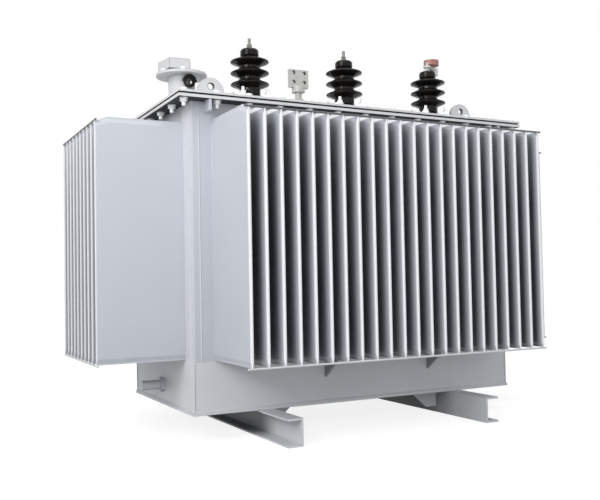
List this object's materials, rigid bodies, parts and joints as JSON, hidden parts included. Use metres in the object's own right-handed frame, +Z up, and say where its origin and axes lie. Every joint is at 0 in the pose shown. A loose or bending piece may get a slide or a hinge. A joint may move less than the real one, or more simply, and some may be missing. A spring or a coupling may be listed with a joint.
{
  "type": "oil-filled power transformer with corrugated tank",
  "caption": "Sealed distribution transformer: box tank with deep corrugated cooling fins on all sides, bolted cover, glazed bushings, terminal palms, oil gauge and base channels.",
  "frame": {"origin": "on the floor, under the middle of the tank", "axes": "+X along the tank, away from the oil gauge end; +Y from the high-voltage side to the low-voltage side; +Z up"},
  "size_m": [1.73, 1.14, 1.282],
  "materials": {
    "tank_paint": "semi-gloss light blue-grey enamel",
    "base_paint": "semi-gloss blue-grey enamel",
    "gasket_rubber": "matt black oil-proof rubber",
    "brown_glaze": "glossy dark brown glaze",
    "stud_brass": "turned brass",
    "bare_copper": "satin copper",
    "tinned_metal": "tinned, satin",
    "clamp_metal": "cast, satin",
    "window_black": "glossy black ring and glass"
  },
  "bodies": {
    "root": {"base_channels": "base_paint", "foot_gussets": "base_paint", "floor_plate": "base_paint", "box_wall_front": "base_paint", "box_wall_back": "base_paint", "box_wall_left": "base_paint", "box_wall_right": "base_paint", "wall_sheets": "tank_paint", "fins_front": "tank_paint", "fins_back": "tank_paint", "fins_left": "tank_paint", "fins_right": "tank_paint", "corner_posts": "tank_paint", "fin_rods": "tank_paint", "fin_brackets": "base_paint", "flange_front": "tank_paint", "flange_back": "tank_paint", "flange_left": "tank_paint", "flange_right": "tank_paint", "flange_gussets": "tank_paint", "rim_gasket": "gasket_rubber", "cover_plate": "tank_paint", "hv_bushing_left": "brown_glaze", "hv_bushing_middle": "brown_glaze", "hv_bushing_right": "brown_glaze", "hv_stud_left": "stud_brass", "hv_stud_middle": "stud_brass", "hv_stud_right": "tinned_metal", "line_clamp": "tinned_metal", "line_clamp_cap": "bare_copper", "lv_bushing_left": "brown_glaze", "lv_bushing_middle": "brown_glaze", "lv_bushing_right": "brown_glaze", "lv_palm_left": "tinned_metal", "lv_palm_middle": "tinned_metal", "lv_palm_right": "tinned_metal", "neutral_bushing": "brown_glaze", "neutral_stud": "tinned_metal", "bushing_clamps": "clamp_metal", "lifting_lugs": "tank_paint", "oil_gauge_pipe": "tank_paint", "oil_gauge_flange": "tank_paint", "sight_window": "window_black", "relief_cap": "tank_paint", "drain_pipe": "base_paint"}
  },
  "joints": []
}
